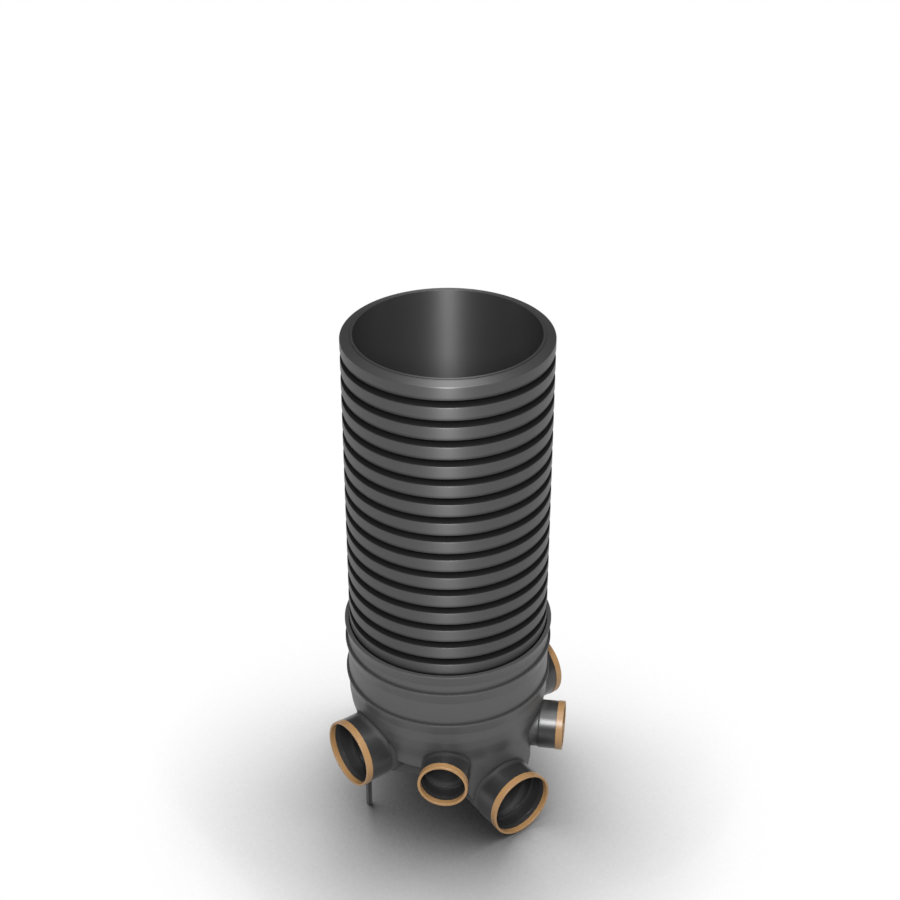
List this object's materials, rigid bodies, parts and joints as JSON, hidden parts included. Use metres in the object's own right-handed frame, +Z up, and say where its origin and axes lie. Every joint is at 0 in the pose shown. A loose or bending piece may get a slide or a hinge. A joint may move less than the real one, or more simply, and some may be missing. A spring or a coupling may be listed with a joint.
{
  "type": "drain inspection chamber",
  "caption": "Plastic drain inspection chamber: round base with benched channels and pipe sockets, and a ribbed riser that lifts out of the base's socket.",
  "frame": {"origin": "on the ground, under the middle of the chamber", "axes": "+Z up along the riser, the main inlet faces -Y and the outlet faces +Y"},
  "size_m": [0.631, 0.631, 1.3053],
  "materials": {
    "moulded_grey_polypropylene": "satin moulded",
    "extruded_grey_polypropylene": "satin extruded",
    "orange_polypropylene": "satin moulded",
    "black_rubber": "matte"
  },
  "bodies": {
    "base": {"base_shell": "moulded_grey_polypropylene", "main_inlet_ring": "orange_polypropylene", "outlet_ring": "orange_polypropylene", "left_inlet_ring": "orange_polypropylene", "right_inlet_ring": "orange_polypropylene", "left_branch_ring": "orange_polypropylene", "right_branch_ring": "orange_polypropylene", "main_inlet_seal": "black_rubber", "outlet_seal": "black_rubber", "left_inlet_seal": "black_rubber", "right_inlet_seal": "black_rubber", "left_branch_seal": "black_rubber", "right_branch_seal": "black_rubber"},
    "riser": {"riser_pipe": "extruded_grey_polypropylene", "riser_seal": "black_rubber"}
  },
  "joints": [
    {"name": "riser_lift", "type": "slide", "parent": "base", "child": "riser", "axis": [0, 0, 1], "range_m": [0, 0.5926]}
  ]
}
